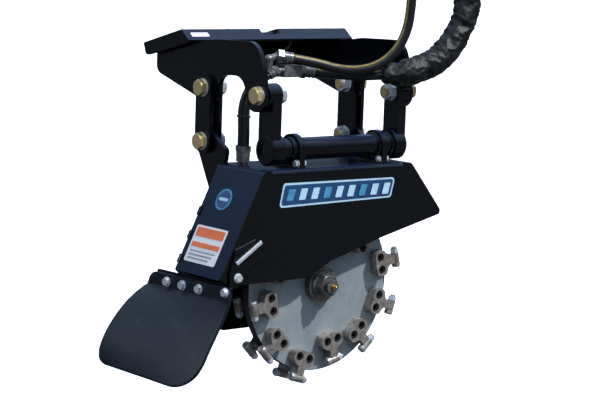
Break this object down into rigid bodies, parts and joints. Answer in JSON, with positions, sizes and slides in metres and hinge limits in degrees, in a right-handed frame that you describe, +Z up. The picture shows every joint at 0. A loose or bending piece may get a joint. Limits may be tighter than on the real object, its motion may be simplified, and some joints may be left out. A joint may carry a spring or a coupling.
{
  "type": "stump grinder",
  "caption": "Stump grinder head for a compact loader: hook-on mount plate, swinging link frame, bent hood with chip chute and rubber flap, toothed grinding wheel, hydraulic hoses",
  "frame": {"origin": "middle of the hook edge, the folded top edge of the mount plate that hooks over the loader's plate", "axes": "+Z up as the head hangs; X runs along the hook edge with the chip chute on -X; +Y points from the wheel's open face towards the loader, along the wheel's axis"},
  "size_m": [0.9173, 0.5504, 1.0839],
  "materials": {
    "black_paint": "gloss black paint",
    "yellow_zinc": "yellow zinc plated",
    "silver_zinc": "bright zinc plated",
    "manifold_steel": "machined block, oiled",
    "hose_rubber": "smooth black hose cover with a yellow lay line",
    "sleeve_fabric": "woven nylon sleeve",
    "bush_bronze": "plain bronze",
    "flap_rubber": "matte rubber sheet, lightly scuffed",
    "motor_paint": "satin black paint on cast housing",
    "bearing_steel": "ground steel",
    "disc_steel": "flame-cut and ground plate, dull",
    "holder_steel": "forged, dull brown-grey",
    "tooth_carbide": "brazed carbide cap on a steel stud"
  },
  "bodies": {
    "mount_frame": {"mount_plate": "black_paint", "plate_side_left": "black_paint", "plate_side_right": "black_paint", "cheek_left": "black_paint", "cheek_right": "black_paint", "rear_crossplate": "black_paint", "plate_ribs": "black_paint", "top_pivot_bolts": "yellow_zinc", "top_pivot_nuts": "silver_zinc", "pivot_washers": "silver_zinc", "manifold_bracket": "black_paint", "manifold_block": "manifold_steel", "manifold_fittings": "silver_zinc", "hose_a": "hose_rubber", "hose_b": "hose_rubber", "hose_sleeve": "sleeve_fabric", "hose_couplers": "silver_zinc", "jumper_hose_pressure": "hose_rubber", "jumper_hose_return": "hose_rubber"},
    "front_links": {"front_link_left": "black_paint", "front_link_right": "black_paint", "front_bushes": "bush_bronze", "torsion_tube": "black_paint", "tube_end_caps": "black_paint", "tube_collars": "black_paint"},
    "rear_links": {"rear_link_outer_left": "black_paint", "rear_link_outer_right": "black_paint", "rear_link_inner_left": "black_paint", "rear_link_inner_right": "black_paint", "rear_lower_bolts": "yellow_zinc", "rear_lower_nuts": "silver_zinc"},
    "hood": {"roof_plate": "black_paint", "chute_plate": "black_paint", "nose_plate": "black_paint", "front_side_plate": "black_paint", "back_side_plate": "black_paint", "ear_left": "black_paint", "ear_right": "black_paint", "ear_bushes": "bush_bronze", "rear_lug_left": "black_paint", "rear_lug_right": "black_paint", "flap_carrier": "black_paint", "flap_root": "flap_rubber", "flap_bolts": "silver_zinc", "carrier_arm": "black_paint", "hood_bolts": "silver_zinc", "jumper_roof_fittings": "silver_zinc", "spindle_housing": "black_paint", "spindle_bearings": "bearing_steel", "hydraulic_motor": "motor_paint"},
    "wheel": {"drive_shaft": "bearing_steel", "cutter_disc": "disc_steel", "hub_flange": "bearing_steel", "hub_nut": "silver_zinc", "grease_fitting": "bush_bronze", "tooth_holders": "holder_steel", "cutter_teeth": "tooth_carbide", "tooth_nuts": "silver_zinc", "holder_screws": "silver_zinc"},
    "flap": {"flap_panel": "flap_rubber"}
  },
  "joints": [
    {"name": "front_link_swing", "type": "hinge", "parent": "mount_frame", "child": "front_links", "pos_m": [0, -0.286, -0.138], "axis": [1, 0, 0], "range_deg": [-30, 30], "deforming": ["jumper_hose_pressure", "jumper_hose_return"]},
    {"name": "rear_link_swing", "type": "hinge", "parent": "mount_frame", "child": "rear_links", "pos_m": [0, -0.083, -0.135], "axis": [1, 0, 0], "range_deg": [-30, 30]},
    {"name": "hood_level", "type": "hinge", "parent": "front_links", "child": "hood", "pos_m": [0, -0.286, -0.268], "axis": [1, 0, 0], "range_deg": [-30, 30]},
    {"name": "wheel_spin", "type": "hinge", "parent": "hood", "child": "wheel", "pos_m": [-0.031, -0.269, -0.602], "axis": [0, 1, 0], "continuous": true},
    {"name": "flap_swing", "type": "hinge", "parent": "hood", "child": "flap", "pos_m": [-0.366, -0.205, -0.609], "axis": [-0.0757, 0.9971, 0], "range_deg": [-12, 40], "stiffness_Nm_per_rad": 60, "deforming": ["flap_panel"]}
  ],
  "couplings": [
    {"joint": "rear_link_swing", "follows": "front_link_swing", "ratio": 1},
    {"joint": "hood_level", "follows": "front_link_swing", "ratio": -1}
  ]
}
